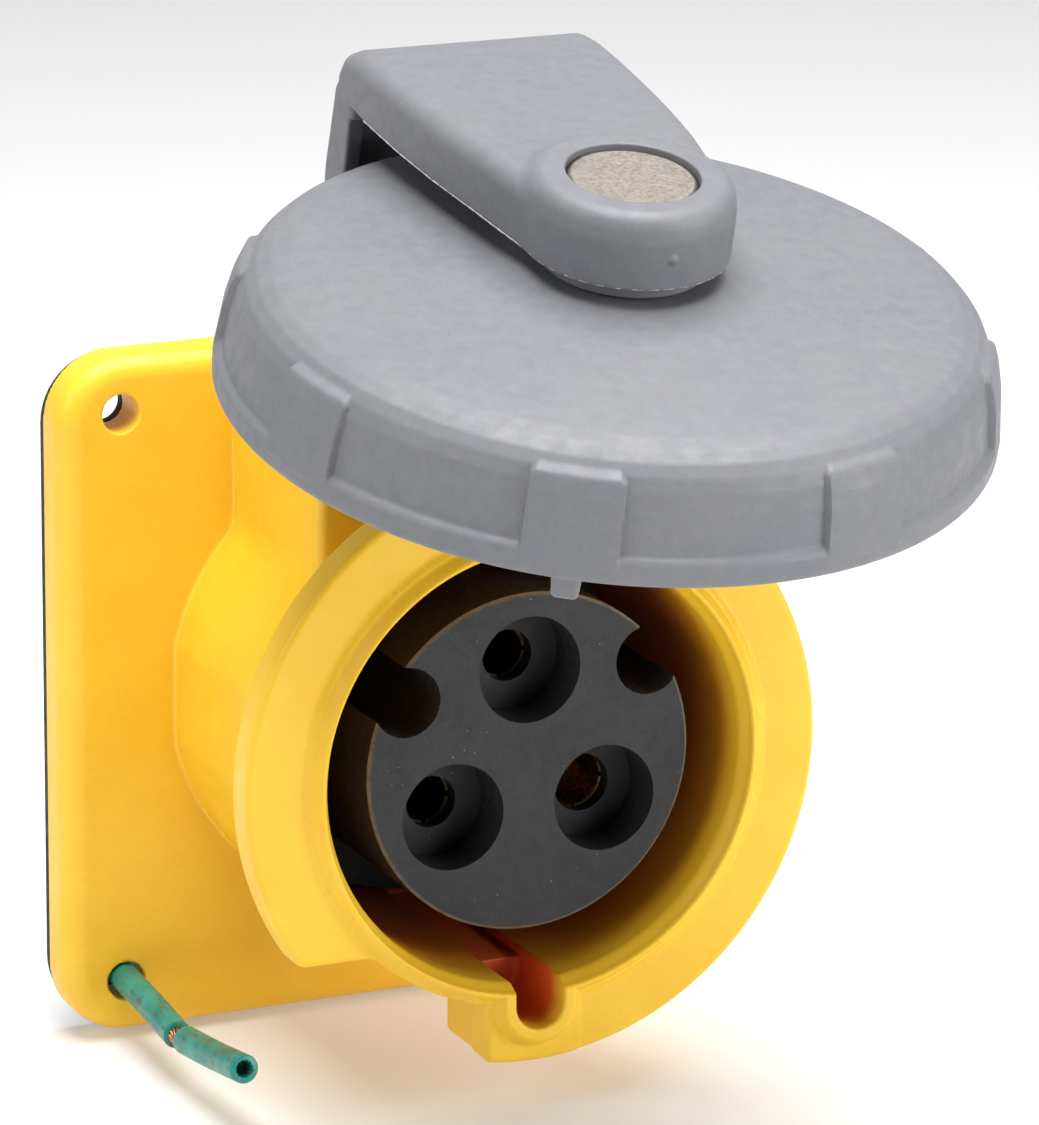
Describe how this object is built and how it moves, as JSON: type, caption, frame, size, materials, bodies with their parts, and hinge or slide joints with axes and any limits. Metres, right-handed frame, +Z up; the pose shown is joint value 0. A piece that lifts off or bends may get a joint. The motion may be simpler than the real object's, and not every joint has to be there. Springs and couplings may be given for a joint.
{
  "type": "pin-and-sleeve power receptacle",
  "caption": "Panel receptacle with a square flange, straight barrel, recessed female contacts, bayonet collar, and a screw-down weather cap turning on a hinged arm.",
  "frame": {"origin": "centre of the four mounting holes, on the panel face that the gasket's back presses on", "axes": "+X to the right seen from the front, +Y into the panel, +Z up; the mouth faces -Y"},
  "size_m": [0.1582, 0.2444, 0.2216],
  "materials": {
    "yellow_nylon": "moulded yellow nylon, faint satin sheen",
    "grey_nylon": "moulded mid-grey nylon, fine satin texture",
    "insert_plastic": "dark grey moulded insulator, matte",
    "black_rubber": "black sheet rubber",
    "seal_rubber": "dark moulded seal",
    "brass": "machined brass",
    "nickel": "satin nickel plate",
    "steel": "bright stainless steel",
    "copper": "bare stranded copper",
    "green_insulation": "green vinyl wire insulation"
  },
  "bodies": {
    "receptacle": {"housing": "yellow_nylon", "mounting_gasket": "black_rubber", "contact_carrier": "insert_plastic", "carrier_flange": "insert_plastic", "terminal_block": "insert_plastic", "carrier_screw_left": "steel", "carrier_screw_right": "steel", "hinge_pin": "steel", "hinge_clip_left": "steel", "hinge_clip_right": "steel", "ground_lead": "green_insulation", "ground_lead_strands": "copper", "ground_lead_sleeve": "green_insulation", "contact_line_1": "brass", "contact_line_1_ring_spring": "steel", "contact_line_1_clamp_screw": "steel", "contact_line_2": "brass", "contact_line_2_ring_spring": "steel", "contact_line_2_clamp_screw": "steel", "contact_earth": "brass", "contact_earth_ring_spring": "steel", "contact_earth_clamp_screw": "steel"},
    "arm": {"cover_arm": "grey_nylon", "arm_spacer": "grey_nylon", "pivot_rivet": "nickel", "rivet_washer": "steel"},
    "cap": {"cover_cap": "grey_nylon", "cap_seal": "seal_rubber"}
  },
  "joints": [
    {"name": "cover_hinge", "type": "hinge", "parent": "receptacle", "child": "arm", "pos_m": [0, -0.04585, 0.071], "axis": [-1, 0, 0], "range_deg": [-76.44, 18]},
    {"name": "cap_turn", "type": "hinge", "parent": "arm", "child": "cap", "pos_m": [0, -0.1225, 0.0861], "axis": [0, -0.2345, 0.9721], "continuous": true}
  ]
}
